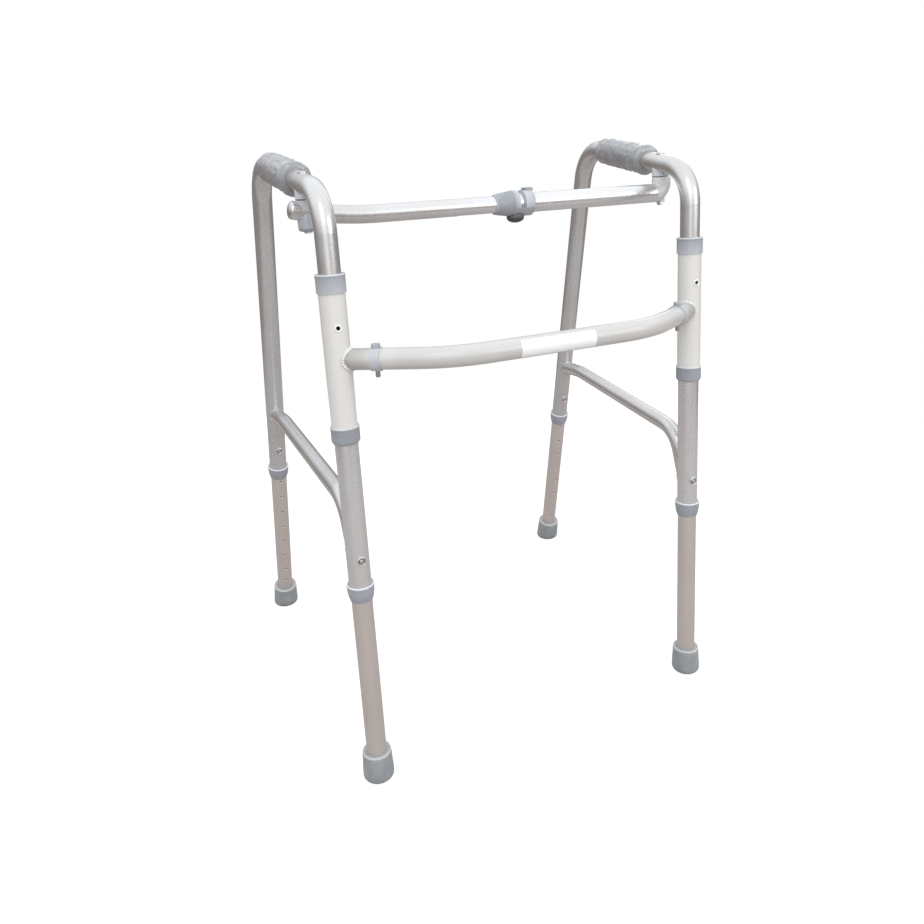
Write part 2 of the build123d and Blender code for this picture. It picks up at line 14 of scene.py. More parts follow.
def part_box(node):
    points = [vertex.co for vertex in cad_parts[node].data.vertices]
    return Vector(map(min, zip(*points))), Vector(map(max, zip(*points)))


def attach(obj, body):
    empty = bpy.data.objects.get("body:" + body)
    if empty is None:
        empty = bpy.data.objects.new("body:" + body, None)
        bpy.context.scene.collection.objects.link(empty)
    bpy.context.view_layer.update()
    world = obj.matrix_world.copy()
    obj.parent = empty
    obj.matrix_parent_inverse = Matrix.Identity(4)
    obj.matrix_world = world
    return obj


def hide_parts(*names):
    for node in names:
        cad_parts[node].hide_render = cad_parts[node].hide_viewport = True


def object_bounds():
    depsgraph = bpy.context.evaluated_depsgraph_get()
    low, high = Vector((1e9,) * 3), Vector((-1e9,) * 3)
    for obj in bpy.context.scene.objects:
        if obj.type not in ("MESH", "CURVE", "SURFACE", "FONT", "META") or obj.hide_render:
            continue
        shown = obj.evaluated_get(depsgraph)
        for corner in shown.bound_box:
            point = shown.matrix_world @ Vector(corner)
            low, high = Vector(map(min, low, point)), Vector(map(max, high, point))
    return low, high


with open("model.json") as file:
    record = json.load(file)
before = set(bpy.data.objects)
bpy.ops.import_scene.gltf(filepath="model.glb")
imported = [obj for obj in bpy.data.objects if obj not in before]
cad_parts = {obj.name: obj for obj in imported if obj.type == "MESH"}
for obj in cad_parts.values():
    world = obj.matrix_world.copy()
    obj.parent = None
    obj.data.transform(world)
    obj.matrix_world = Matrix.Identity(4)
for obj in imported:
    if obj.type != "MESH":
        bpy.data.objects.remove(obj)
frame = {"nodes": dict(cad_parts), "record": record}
cad_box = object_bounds()
NODES = frame["nodes"]
SIDES = {"left": -1, "right": 1}

# ---------------------------------------------------------------- driving dimensions, metres
UP = Vector((0, 0, 1))
SPLAY = math.radians(3.75)            # outward turn of each side frame
LEG_X = 0.250                         # front leg axis from the middle
HANDLE_SLOPE = 0.16                   # rise of the handle towards the rear
HANDLE_AT_FRONT = 0.7587              # handle axis height produced to the front leg
TUBE_R = 0.0142                       # side frame tube
BEND_R = 0.0130                       # the same tube where it bends into the handle
GRIP_START = 0.105                    # grip ends, measured back from the front leg
GRIP_END = 0.229
GRIP_BODY_R = 0.0189
GRIP_FLANGE_R = 0.0218
LOWER_BAR_R = 0.0127
LOWER_BAR_WALL = 0.0015
LOWER_BAR_ANGLE = math.radians(32.5)  # between the bar's ends and the X axis
LOWER_BAR_BOW = 0.074                 # how far the bar stands in front of the legs
LOWER_BAR_BEND_R = 0.150
LOWER_BAR_RUN = 0.030                 # straight past each bend, before the stretch cut on the sleeve
SLEEVE_R = 0.0156
SLEEVE_HOLE_Z = 0.6085
SLEEVE_RIM_R = 0.0036                 # ring just outside the sleeve's hole
REAR_FOOT = 0.5108                    # rear leg axis at the floor, behind the front leg
REAR_SLOPE = 0.27                     # forward lean of the rear leg for each metre of height
REAR_LEAN = math.atan(REAR_SLOPE)
LEG_R = 0.0132                        # leg extensions
HOLE_R = 0.0025
HOLE_PITCH = 0.0326
HOLES_BELOW = 8                       # height holes below each snap button
HOLE_FACING = {"front": 1, "rear": -1}                                 # 1 looks back, -1 looks forward
BUTTON_UP = {"front": 0.319, "rear": 0.3402 / math.cos(REAR_LEAN)}     # along the leg axis
DRAIN_HOLE_UP = 0.022                 # above the foot's rim
PIVOT_SHADE_RING_R = 0.0106                  # just outside the pivot washers' edge
RING_FRONT = 0.0155                   # front of the pressed rings round the buttons, from the leg axis
RING_INNER_R = 0.0039
RING_OUTER_R = 0.0050
BRACE_R = 0.0111
BRACE_CORNER = {"rear": (0.335, 0.4075), "front": (0.030, 0.384)}      # last bends: back, up
BRACE_REAR_UP = 0.402                 # where the brace runs into the rear leg
BRACE_END = {"rear": (REAR_FOOT - REAR_SLOPE * BRACE_REAR_UP, BRACE_REAR_UP), "front": (0.002, 0.309)}
COLLAR_TOP = {"front": 0.283, "rear": 0.286 / math.cos(REAR_LEAN) + 0.018}     # along the leg axis
COLLAR_RING_R = 0.0162                # where the lip runs round the leg collars
BUSH_RINGS = ((0.0165, 0.4887), (0.0166, 0.6686))      # rims of the lower and upper bush: radius, height

low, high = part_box("foot_front_left")
FRONT_Y = (low[1] + high[1]) / 2      # the front legs' plane
FOOT_RIM_UP = {"front": high[2], "rear": 0.043}        # along the leg axis
FOOT_RIM_R = {"front": 0.0186, "rear": 0.0197}
low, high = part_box("lower_bar")
LOWER_BAR_Z = (low[2] + high[2]) / 2


# ---------------------------------------------------------------- materials
CONVEX_EDGE = (0.52, 0.60)            # pointiness where the lighter edge, partly rubbing and partly a painted highlight, starts, and where it is full


class Tree:
    """A material's node tree, with short calls to add nodes and link them."""

    def __init__(self, name):
        self.material = bpy.data.materials.new(name)
        self.material.use_nodes = True
        self.tree = self.material.node_tree
        self.shader = self.tree.nodes["Principled BSDF"]
        coordinates = self.tree.nodes.new("ShaderNodeTexCoord")
        self.place = coordinates.outputs["Object"]
        self.normal = None

    def link(self, output, target):
        self.tree.links.new(output, target)

    def set(self, **values):
        """Sets plain numbers and colours on the shader's own sockets."""
        for key, value in values.items():
            socket = self.shader.inputs[key.replace("_", " ")]
            socket.default_value = (*value, 1) if isinstance(value, tuple) else value

    def stretched(self, scale):
        """Object coordinates, scaled by a different factor on each axis."""
        mapping = self.tree.nodes.new("ShaderNodeMapping")
        mapping.inputs["Scale"].default_value = scale
        self.link(self.place, mapping.inputs["Vector"])
        return mapping.outputs["Vector"]

    def noise(self, scale, detail, vector=None, rough=0.5):
        node = self.tree.nodes.new("ShaderNodeTexNoise")
        node.inputs["Scale"].default_value = scale
        node.inputs["Detail"].default_value = detail
        node.inputs["Roughness"].default_value = rough
        self.link(vector or self.place, node.inputs["Vector"])
        return node.outputs["Fac"]

    def cells(self, scale):
        node = self.tree.nodes.new("ShaderNodeTexVoronoi")
        node.inputs["Scale"].default_value = scale
        self.link(self.place, node.inputs["Vector"])
        return node.outputs["Distance"]

    def remap(self, factor, low, high, out_low=0.0, out_high=1.0):
        """Maps the range low to high of a value onto out_low to out_high."""
        node = self.tree.nodes.new("ShaderNodeMapRange")
        limits = {"From Min": low, "From Max": high, "To Min": out_low, "To Max": out_high}
        for key, value in limits.items():
            node.inputs[key].default_value = value
        self.link(factor, node.inputs["Value"])
        return node.outputs["Result"]

    def mix(self, factor, colour_a, colour_b):
        """Mixes two colours, each a tuple or another node's output."""
        node = self.tree.nodes.new("ShaderNodeMix")
        node.data_type = "RGBA"
        self.link(factor, node.inputs["Factor"])
        for key, colour in (("A", colour_a), ("B", colour_b)):
            socket = [s for s in node.inputs if s.name == key and s.type == "RGBA"][0]
            if isinstance(colour, tuple):
                socket.default_value = (*colour, 1)
            else:
                self.link(colour, socket)
        return [s for s in node.outputs if s.type == "RGBA"][0]

    def bump(self, height, strength, distance):
        """Adds relief on top of any bump the material already has."""
        node = self.tree.nodes.new("ShaderNodeBump")
        node.inputs["Strength"].default_value = strength
        node.inputs["Distance"].default_value = distance
        self.link(height, node.inputs["Height"])
        if self.normal:
            self.link(self.normal, node.inputs["Normal"])
        self.normal = node.outputs["Normal"]
        self.link(self.normal, self.shader.inputs["Normal"])

    def colour(self, output):
        self.link(output, self.shader.inputs["Base Color"])

    def roughness(self, output):
        self.link(output, self.shader.inputs["Roughness"])

    def rubbed_and_highlit(self, colour, edge_colour, amount=0.5):
        """Lightens the convex edges, where handling rubs the surface; the lighter edges are also a painted
        highlight along rims.
        """
        geometry = self.tree.nodes.new("ShaderNodeNewGeometry")
        # convex edges painted lighter: partly real wear, partly a painted highlight
        edge = self.remap(geometry.outputs["Pointiness"], *CONVEX_EDGE, 0.0, amount)
        return self.mix(edge, colour, edge_colour)


def shade(tone, share):
    """The same tone at a share of its brightness."""
    return tuple(c * share for c in tone)


def satin_tube(name, tone, warm_tone, metallic, roughness):
    """Anodised aluminium tube: drawn lines along it, cloudy tone and faint handling marks."""
    t = Tree(name)
    clouds = t.noise(14.0, 4.0)
    lengthways = t.noise(1.0, 3.0, t.stretched((1100, 1100, 9)))
    marks = t.noise(160.0, 5.0)
    base = t.mix(t.remap(clouds, 0.35, 0.65), tone, warm_tone)
    darker = shade(tone, 0.84)
    base = t.mix(t.remap(lengthways, 0.35, 0.75, 0.0, 0.18), base, darker)
    base = t.mix(t.remap(marks, 0.62, 0.80, 0.0, 0.25), base, darker)
    t.colour(t.rubbed_and_highlit(base, (0.85, 0.85, 0.86), 0.35))
    t.roughness(t.remap(marks, 0.3, 0.7, roughness - 0.03, roughness + 0.05))
    t.bump(lengthways, 0.03, 0.0002)
    t.set(Metallic=metallic)
    return t.material


def gloss_paint():
    """Ivory powder paint: faint orange peel, slight unevenness of tone, and lighter edges that are partly
    rubbed and partly a painted highlight.
    """
    t = Tree("ivory_paint")
    peel = t.noise(650.0, 1.0)
    blotch = t.noise(22.0, 3.0)
    grime = t.noise(120.0, 5.0)
    base = t.mix(t.remap(blotch, 0.35, 0.65), (0.52, 0.51, 0.497), (0.50, 0.488, 0.474))
    base = t.mix(t.remap(grime, 0.58, 0.75, 0.0, 0.30), base, (0.44, 0.425, 0.405))
    t.colour(t.rubbed_and_highlit(base, (0.82, 0.80, 0.77)))
    t.roughness(t.remap(blotch, 0.3, 0.7, 0.30, 0.42))
    t.bump(peel, 0.12, 0.0003)
    t.set(Coat_Weight=0.5, Coat_Roughness=0.15)
    return t.material


def moulded_plastic(name, tone, light_tone, roughness):
    """Injection-moulded plastic: spark-eroded grain, flow clouds, and paler edges that are partly rubbed
    and partly a painted highlight.
    """
    t = Tree(name)
    grains = t.cells(700.0)
    flow = t.noise(30.0, 4.0)
    dust = t.noise(260.0, 4.0)
    base = t.mix(t.remap(flow, 0.35, 0.65), tone, shade(tone, 0.86))
    base = t.mix(t.remap(dust, 0.60, 0.78, 0.0, 0.35), base, light_tone)
    t.colour(t.rubbed_and_highlit(base, light_tone, 0.75))
    t.roughness(t.remap(flow, 0.3, 0.7, roughness - 0.06, roughness + 0.06))
    t.bump(grains, 0.14, 0.0002)
    t.bump(dust, 0.10, 0.0003)
    return t.material


def wrapped_grip():
    """Grip plastic in its clear film: creases painted lighter as a painted highlight, over a softly clouded
    grey.
    """
    t = Tree("grip_plastic")
    flow = t.noise(30.0, 4.0)
    dust = t.noise(260.0, 4.0)
    creases = t.noise(1.0, 2.0, t.stretched((75, 60, 75)), 0.55)
    base = t.mix(t.remap(flow, 0.35, 0.65), (0.28, 0.285, 0.30), (0.23, 0.235, 0.25))
    # lighter colour on the creases is a painted highlight; the creases' relief comes from the bump below
    base = t.mix(t.remap(creases, 0.55, 0.72, 0.0, 0.4), base, (0.44, 0.45, 0.47))
    base = t.mix(t.remap(dust, 0.60, 0.78, 0.0, 0.30), base, (0.50, 0.51, 0.53))
    t.colour(t.rubbed_and_highlit(base, (0.56, 0.57, 0.59), 0.75))
    t.roughness(t.remap(flow, 0.3, 0.7, 0.22, 0.34))
    t.bump(creases, 0.35, 0.0028)
    t.link(t.normal, t.shader.inputs["Coat Normal"])
    t.set(Coat_Weight=0.8, Coat_Roughness=0.08)
    return t.material


def dusty_rubber():
    """Moulded rubber of the feet: matt, dusty, darker near the floor."""
    t = Tree("foot_rubber")
    dust = t.noise(90.0, 6.0)
    fine = t.noise(900.0, 2.0)
    separate = t.tree.nodes.new("ShaderNodeSeparateXYZ")
    t.link(t.place, separate.inputs["Vector"])
    # darker towards the bottom of each foot
    toward_sole = t.remap(separate.outputs["Z"], 0.0, 0.010, 0.55, 0.0)
    base = t.mix(t.remap(dust, 0.4, 0.7), (0.222, 0.238, 0.252), (0.275, 0.288, 0.298))
    base = t.mix(toward_sole, base, (0.13, 0.12, 0.115))
    t.colour(t.rubbed_and_highlit(base, (0.46, 0.47, 0.48), 0.8))
    t.roughness(t.remap(dust, 0.3, 0.7, 0.58, 0.78))
    t.bump(fine, 0.15, 0.0002)
    t.set(Sheen_Weight=0.15, Sheen_Roughness=0.5)
    return t.material


def plated_steel(name, tone, roughness):
    """Zinc-plated steel with faint spangle and tool marks."""
    t = Tree(name)
    spangle = t.cells(260.0)
    marks = t.noise(500.0, 3.0)
    base = t.mix(t.remap(spangle, 0.1, 0.8), tone, shade(tone, 0.7))
    t.colour(t.rubbed_and_highlit(base, (0.8, 0.8, 0.8)))
    t.roughness(t.remap(marks, 0.3, 0.7, roughness - 0.06, roughness + 0.10))
    t.bump(marks, 0.10, 0.0002)
    t.set(Metallic=1.0)
    return t.material


def weld_metal(name, tone, metallic):
    """Weld metal, bare or painted, with cloudy heat marks and a fine relief."""
    t = Tree(name)
    heat = t.noise(160.0, 3.0)
    t.colour(t.mix(t.remap(heat, 0.35, 0.65), tone, shade(tone, 0.8)))
    t.roughness(t.remap(heat, 0.3, 0.7, 0.35, 0.5))
    t.bump(heat, 0.2, 0.0004)
    t.set(Metallic=metallic)
    return t.material


def printed_film():
    """Blank white label film with a faint fibre and a slight gloss."""
    t = Tree("label_film")
    fibre = t.noise(1.0, 3.0, t.stretched((60, 900, 900)))
    t.colour(t.mix(t.remap(fibre, 0.3, 0.7), (0.86, 0.86, 0.87), (0.80, 0.80, 0.82)))
    t.roughness(t.remap(fibre, 0.3, 0.7, 0.22, 0.32))
    t.bump(fibre, 0.05, 0.0001)
    return t.material


MATERIALS = {
    "tube_silver": satin_tube("silver_tube", (0.60, 0.60, 0.615), (0.56, 0.545, 0.535), 0.78, 0.27),
    "leg_champagne": satin_tube("champagne_tube", (0.56, 0.49, 0.45), (0.52, 0.44, 0.395), 0.82, 0.33),
    "ivory": gloss_paint(),
    "plastic_grey": moulded_plastic("grey_plastic", (0.30, 0.318, 0.352), (0.52, 0.54, 0.57), 0.42),
    "grip_grey": wrapped_grip(),
    "foot_rubber": dusty_rubber(),
    "steel": plated_steel("zinc_steel", (0.60, 0.60, 0.61), 0.30),
    "bolt_dark": plated_steel("dark_steel", (0.10, 0.095, 0.095), 0.42),
    "button_dark": moulded_plastic("dark_plastic", (0.055, 0.045, 0.05), (0.16, 0.15, 0.16), 0.42),
    "label_white": printed_film(),
}
# weld bead lighter than the ivory paint: a painted highlight on the sleeve welds
PAINTED_WELD_HIGHLIGHT = weld_metal("painted_weld_highlight", (0.74, 0.73, 0.71), 0.0)
BARE_WELD = weld_metal("bare_weld", (0.62, 0.61, 0.60), 0.9)
# bright steel for rings that are painted highlights on hole and button edges
HIGHLIGHT_STEEL = plated_steel("highlight_steel_edge", (0.86, 0.85, 0.84), 0.25)
# near-white for the ring that is a painted highlight on each sleeve hole's edge
PAINT_HIGHLIGHT = weld_metal("paint_highlight", (0.92, 0.915, 0.90), 0.0)
# lighter plastic and rubber for the rolled lips: painted highlights along the rims
PLASTIC_HIGHLIGHT = moulded_plastic("plastic_highlight", (0.62, 0.63, 0.65), (0.75, 0.76, 0.77), 0.35)
RUBBER_HIGHLIGHT = moulded_plastic("rubber_highlight", (0.44, 0.45, 0.455), (0.55, 0.56, 0.56), 0.50)

# Nodes whose plastic differs from the rest of their slot
BOSS_PLASTIC = moulded_plastic("boss_plastic", (0.46, 0.49, 0.53), (0.62, 0.64, 0.67), 0.36)
OWN_MATERIALS = {
    "elbow_right": moulded_plastic("elbow_plastic", (0.60, 0.61, 0.62), (0.72, 0.73, 0.74), 0.30),
    "bracket_boss_left": BOSS_PLASTIC,
    "bracket_boss_right": BOSS_PLASTIC,
}


def dress_cad_nodes():
    """Gives every CAD node its own procedural material, or the one of its record slot."""
    for part in frame["record"]["subparts"]:
        materials = NODES[part["node"]].data.materials
        materials.clear()
        materials.append(OWN_MATERIALS.get(part["node"], MATERIALS[part["material_slot"]]))


# ---------------------------------------------------------------- mesh helpers
def add_piece(name, mesh_maker, body, material, replaced=()):
    """Makes a mesh piece with bmesh, smooths it and lets it ride on a body."""
    mesh = bpy.data.meshes.new(name)
    bm = bmesh.new()
    mesh_maker(bm)
    bmesh.ops.recalc_face_normals(bm, faces=bm.faces)
    bm.to_mesh(mesh)
    bm.free()
    mesh.shade_smooth()
    mesh.materials.append(material)
    piece = bpy.data.objects.new(name, mesh)
    bpy.context.scene.collection.objects.link(piece)
    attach(piece, body)
    if replaced:
        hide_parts(*replaced)


def skin(bm, rings):
    """Joins rings of points, each a closed loop, into one surface that ends where it began."""
    rows = [[bm.verts.new(point) for point in ring] for ring in rings]
    for row, following in zip(rows, rows[1:] + rows[:1]):
        count = len(row)
        for i in range(count):
            j = (i + 1) % count
            bm.faces.new((row[i], row[j], following[j], following[i]))


def side_frame_matrix(side):
    """From a side frame's coordinates (right, back, up, from its front leg at the floor) to the scene's."""
    sign = SIDES[side]
    return Matrix.Translation((sign * LEG_X, FRONT_Y, 0)) @ Matrix.Rotation(-sign * SPLAY, 4, "Z")


def handle_matrix(side):
    """Places a piece along the handle: its Z runs back along the handle axis."""
    tilt = math.atan(HANDLE_SLOPE)
    start = Vector((0, GRIP_START, HANDLE_AT_FRONT + HANDLE_SLOPE * GRIP_START))
    turn = Matrix.Rotation(tilt - math.pi / 2, 4, "X")
    return side_frame_matrix(side) @ Matrix.Translation(start) @ turn


# ---------------------------------------------------------------- grips
GRIP_LENGTH = (GRIP_END - GRIP_START) / math.cos(math.atan(HANDLE_SLOPE))
GRIP_STATIONS = 150
GRIP_AROUND = 120
SWAGE_START, SWAGE_END = 0.040, 0.060              # where the tube widens again inside the grip
# Rings turned on the grip: place along it, height, half width
GRIP_RINGS = (
    (0.0045, GRIP_FLANGE_R - GRIP_BODY_R, 0.0040),
    (0.0100, -0.0009, 0.0012),
    (0.0140, 0.0016, 0.0022),
    (GRIP_LENGTH - 0.005, 0.0012, 0.0035),
)
BARREL_CROWN = 0.0016                              # how much the middle is thicker than the ends
WAIST_DEPTH, WAIST_AT, WAIST_WIDTH = 0.0006, 0.16, 0.05
PAD_HEIGHT = 0.0007                                # raised side panels
PAD_START, PAD_END = (0.26, 0.29), (0.86, 0.89)    # shares of the length over which they rise and end
PAD_EDGE = (0.55, 0.70)                            # the same, from the top (0) to the side (1)
BUMP_HEIGHT, BUMP_WIDTH = 0.0016, 0.018
BUMP_ROWS = (0.24, 0.345, 0.78, 0.845)             # shares of the length
BUMPS_AROUND = 14
BUMP_FADE = 0.6                                    # how much lower the bumps are at the sides
RIB_HEIGHT, RIB_PITCH = 0.00025, 0.0042            # fine ribs across the top
RIB_EDGE = (0.2, 0.6)                              # they fade in from the side (0) to the top (1)
WRINKLE_SIZE, WRINKLE_HEIGHT = 0.0065, 0.0008      # of the clear film round the grip
NOSE_LENGTH, NOSE_DEPTH = 0.0060, 0.8              # rounding of the front end: length, share of the wall
FIRST_STATION = 0.0003                             # a ring just behind the front edge
REAR_EDGE = ((0.0004, 0.80), (0.0, 0.45), (0.0, 0.0))      # distance from the end, share of the wall


def smooth_step(value, low, high):
    t = min(1.0, max(0.0, (value - low) / (high - low)))
    return t * t * (3 - 2 * t)


def bell(value, centre, width):
    return math.exp(-(((value - centre) / width) ** 2))


def grip_bore(along):
    """Radius of the tube inside the grip."""
    return BEND_R + (TUBE_R - BEND_R) * smooth_step(along, SWAGE_START, SWAGE_END)


def grip_relief(along, angle):
    """Height of the side panels, rows of bumps and ribs at a place on the grip."""
    share = along / GRIP_LENGTH
    side_face = abs(math.sin(angle))
    window = smooth_step(share, *PAD_START) * (1 - smooth_step(share, *PAD_END))
    pad = PAD_HEIGHT * window * smooth_step(side_face, *PAD_EDGE)
    rows = sum(bell(share, centre, BUMP_WIDTH) for centre in BUMP_ROWS)
    crests = 0.5 + 0.5 * math.cos(BUMPS_AROUND * angle)
    bumps = BUMP_HEIGHT * rows * crests * (1 - BUMP_FADE * side_face)
    top_face = smooth_step(math.cos(angle), *RIB_EDGE)
    ribs = RIB_HEIGHT * window * top_face * math.cos(2 * math.pi * along / RIB_PITCH)
    return pad + bumps + ribs


def grip_radius(along, angle):
    """Outer radius of the grip at a place along it and round it (0 is the top)."""
    share = along / GRIP_LENGTH
    crown = BARREL_CROWN * math.sin(math.pi * share) ** 2
    waist = -WAIST_DEPTH * bell(share, WAIST_AT, WAIST_WIDTH)
    rings = sum(height * bell(along, place, width) for place, height, width in GRIP_RINGS)
    spot = Vector((GRIP_BODY_R * math.sin(angle), GRIP_BODY_R * math.cos(angle), along))
    wrinkles = WRINKLE_HEIGHT * noise.noise(spot / WRINKLE_SIZE)
    full = GRIP_BODY_R + crown + waist + rings + grip_relief(along, angle) + wrinkles
    nose = 1 - min(1.0, along / NOSE_LENGTH)
    return full - (full - grip_bore(along)) * NOSE_DEPTH * (1 - math.sqrt(1 - nose**2))


def grip_ring(place, along, share=1.0):
    """A ring of points round the grip, at a share of the way from its bore to its surface."""
    bore = grip_bore(along)
    ring = []
    for k in range(GRIP_AROUND):
        angle = 2 * math.pi * k / GRIP_AROUND
        radius = bore + share * (grip_radius(along, angle) - bore)
        ring.append(place @ Vector((radius * math.sin(angle), -radius * math.cos(angle), along)))
    return ring


def grip_mesh(side):
    """The grip from its front end to its rounded rear edge, and back along its bore."""
    place = handle_matrix(side)
    stations = [GRIP_LENGTH * n / GRIP_STATIONS for n in range(1, GRIP_STATIONS)]

    def make(bm):
        rings = [grip_ring(place, 0.0, 0.0)]
        rings += [grip_ring(place, along) for along in (0.0, FIRST_STATION, *stations)]
        rings += [grip_ring(place, GRIP_LENGTH - back, share) for back, share in REAR_EDGE]
        rings.append(grip_ring(place, GRIP_LENGTH / 2, 0.0))
        skin(bm, rings)

    return make


def add_grips():
    for side in SIDES:
        add_piece(
            f"moulded_grip_{side}", grip_mesh(side), f"{side}_side",
            MATERIALS["grip_grey"], [f"grip_{side}"],
        )


# ---------------------------------------------------------------- beads
BEAD_SIDES = 10
RIPPLE_SHARE = 0.16                   # height of a bead's ripples, as a share of its radius
WELD_POINTS, RIM_POINTS, CIRCLE_POINTS = 180, 36, 72       # points along one loop


def bead(bm, points, radius, ripples):
    """A closed bead along a loop of points; without ripples it is as thick as a ripple's crest."""
    count = len(points)
    centre = sum(points, Vector()) / count
    angles = [2 * math.pi * k / BEAD_SIDES for k in range(BEAD_SIDES)]
    rings = []
    for i, point in enumerate(points):
        tangent = (points[(i + 1) % count] - points[i - 1]).normalized()
        outward = point - centre
        outward = (outward - tangent * outward.dot(tangent)).normalized()
        across = tangent.cross(outward)
        swell = radius * (1 + RIPPLE_SHARE * math.cos(2 * math.pi * ripples * i / count))
        rings.append([point + swell * (math.cos(a) * outward + math.sin(a) * across) for a in angles])
    skin(bm, rings)


def add_beads(name, loops, radius, body, material, ripples=0):
    """One piece made of closed beads, each along a loop of points."""

    def make(bm):
        for loop in loops:
            bead(bm, loop, radius, ripples)

    add_piece(name, make, body, material)


def circle_at(place, radius, height):
    """A circle round a place's own Z axis."""
    angles = [2 * math.pi * k / CIRCLE_POINTS for k in range(CIRCLE_POINTS)]
    return [place @ Vector((radius * math.cos(a), radius * math.sin(a), height)) for a in angles]


def circle_on_tube(place, tube_r, hole_r, height, facing):
    """A hole's edge on the surface of an upright tube, on its front (-1) or back (1)."""
    loop = []
    for k in range(RIM_POINTS):
        angle = 2 * math.pi * k / RIM_POINTS
        across, up = hole_r * math.cos(angle), hole_r * math.sin(angle)
        loop.append(place @ Vector((across, facing * math.sqrt(tube_r**2 - across**2), height + up)))
    return loop


def run_to_post(origin, direction, post_centre, post_axis, post_r):
    """Where a line from origin first meets a round post."""
    offset = origin - post_centre
    flat = direction - post_axis * direction.dot(post_axis)
    gap = offset - post_axis * offset.dot(post_axis)
    a, b, c = flat.dot(flat), 2 * flat.dot(gap), gap.dot(gap) - post_r**2
    return origin + direction * ((-b - math.sqrt(b * b - 4 * a * c)) / (2 * a))


def meeting_loop(start, direction, tube_r, post_centre, post_axis, post_r):
    """The closed line where a round tube meets a round post.

    Each generator of the tube, from start along direction, is followed to the post's surface.
    """
    side = direction.cross(UP).normalized()
    over = direction.cross(side).normalized()
    loop = []
    for k in range(WELD_POINTS):
        angle = 2 * math.pi * k / WELD_POINTS
        origin = start + tube_r * (math.cos(angle) * side + math.sin(angle) * over)
        loop.append(run_to_post(origin, direction, post_centre, post_axis, post_r))
    return loop


# ---------------------------------------------------------------- bowed bar and its welds
BAR_AROUND = 64
BEND_STEPS, MIDDLE_STEPS = 20, 8
BAR_SUNK = 0.0007                     # the bar's ends reach this far into the sleeve's wall
SLEEVE_WELD_R, SLEEVE_WELD_OFF = 0.0021, 0.0004    # the bead's centre is this far off the sleeve
WELD_START = 0.06                     # a place on the bar's axis well outside the sleeve


def bar_end(side):
    """The leg's axis at the bar's height, and the direction in which the bar runs into it."""
    sign = SIDES[side]
    leg = Vector((sign * LEG_X, FRONT_Y, LOWER_BAR_Z))
    toward = Vector((sign * math.cos(LOWER_BAR_ANGLE), math.sin(LOWER_BAR_ANGLE), 0))
    return leg, toward


def bowed_path():
    """Centres and headings along the bowed bar, left to right: run, bend, middle, bend, run."""
    knee_x = LEG_X - LOWER_BAR_BOW / math.tan(LOWER_BAR_ANGLE)
    bend_x = knee_x - LOWER_BAR_BEND_R * math.tan(LOWER_BAR_ANGLE / 2)
    middle_y = FRONT_Y - LOWER_BAR_BOW
    bend = []
    for n in range(BEND_STEPS + 1):
        heading = -LOWER_BAR_ANGLE * (1 - n / BEND_STEPS)
        x = -bend_x + LOWER_BAR_BEND_R * math.sin(heading)
        y = middle_y + LOWER_BAR_BEND_R * (1 - math.cos(heading))
        bend.append((x, y, heading))
    x, y, heading = bend[0]
    run = (x - LOWER_BAR_RUN * math.cos(heading), y - LOWER_BAR_RUN * math.sin(heading), heading)
    left = [run] + bend
    right = [(-x, y, -heading) for x, y, heading in reversed(left)]
    middle = [(bend_x * (2 * n / MIDDLE_STEPS - 1), middle_y, 0.0) for n in range(1, MIDDLE_STEPS)]
    return left + middle + right


def bar_ring(x, y, heading, radius):
    """A ring of points round the bowed bar, square to its heading."""
    centre = Vector((x, y, LOWER_BAR_Z))
    level = Vector((math.sin(heading), -math.cos(heading), 0))
    angles = [2 * math.pi * k / BAR_AROUND for k in range(BAR_AROUND)]
    return [centre + radius * (math.cos(a) * level + math.sin(a) * UP) for a in angles]


def bowed_bar(bm):
    """The bowed bar as a hollow tube, each end cut to sit on its sleeve."""
    skins = []
    for radius in (LOWER_BAR_R, LOWER_BAR_R - LOWER_BAR_WALL):
        rings = [bar_ring(*station, radius) for station in bowed_path()]
        ends = []
        for side, ring in zip(SIDES, (rings[0], rings[-1])):
            leg, toward = bar_end(side)
            ends.append([run_to_post(point, toward, leg, UP, SLEEVE_R - BAR_SUNK) for point in ring])
        skins.append([ends[0], *rings, ends[1]])
    outer, inner = skins
    skin(bm, outer + inner[::-1])


def add_bowed_bar():
    add_piece("bowed_bar", bowed_bar, "front_frame", MATERIALS["ivory"], ["lower_bar"])


def add_sleeve_welds():
    """Painted beads where the bowed bar meets each sleeve, coloured lighter than the paint as a painted
    highlight.
    """
    for side in SIDES:
        leg, toward = bar_end(side)
        start = leg - WELD_START * toward
        loop = meeting_loop(start, toward, LOWER_BAR_R, leg, UP, SLEEVE_R + SLEEVE_WELD_OFF)
        add_beads(
            f"sleeve_weld_{side}", [loop], SLEEVE_WELD_R, "front_frame", PAINTED_WELD_HIGHLIGHT, ripples=26
        )


# ---------------------------------------------------------------- brace welds, rims and lips
# *_R is a bead's own radius
BRACE_WELD_R = 0.0013
HOLE_RIM_R = 0.0009
HOLE_RIM_IN, HOLE_RIM_SUNK = 0.0001, 0.0011        # sunk, so that it stays clear of the side tube
# radii of the painted-shade rings in the button gaps and at the pivots, and of the painted-highlight ring
# on each button's edge
GAP_SHADE_R, RING_HIGHLIGHT_R, PIVOT_SHADE_R = 0.0005, 0.0007, 0.0006
FOOT_LIP_R = 0.0012
FOOT_LIP_IN, FOOT_LIP_DOWN = 0.0009, 0.0007        # from the foot's rim
COLLAR_LIP_R = 0.0011
COLLAR_LIP_DOWN = 0.0006                           # from the collar's top
BUSH_LIP_R = 0.0008


def leg_matrix(side, end):
    """Places a piece on a leg: its Z runs up the leg axis from the floor, its -Y faces the front."""
    lean = Matrix.Translation((0, REAR_FOOT, 0)) @ Matrix.Rotation(REAR_LEAN, 4, "X")
    return side_frame_matrix(side) @ (lean if end == "rear" else Matrix())


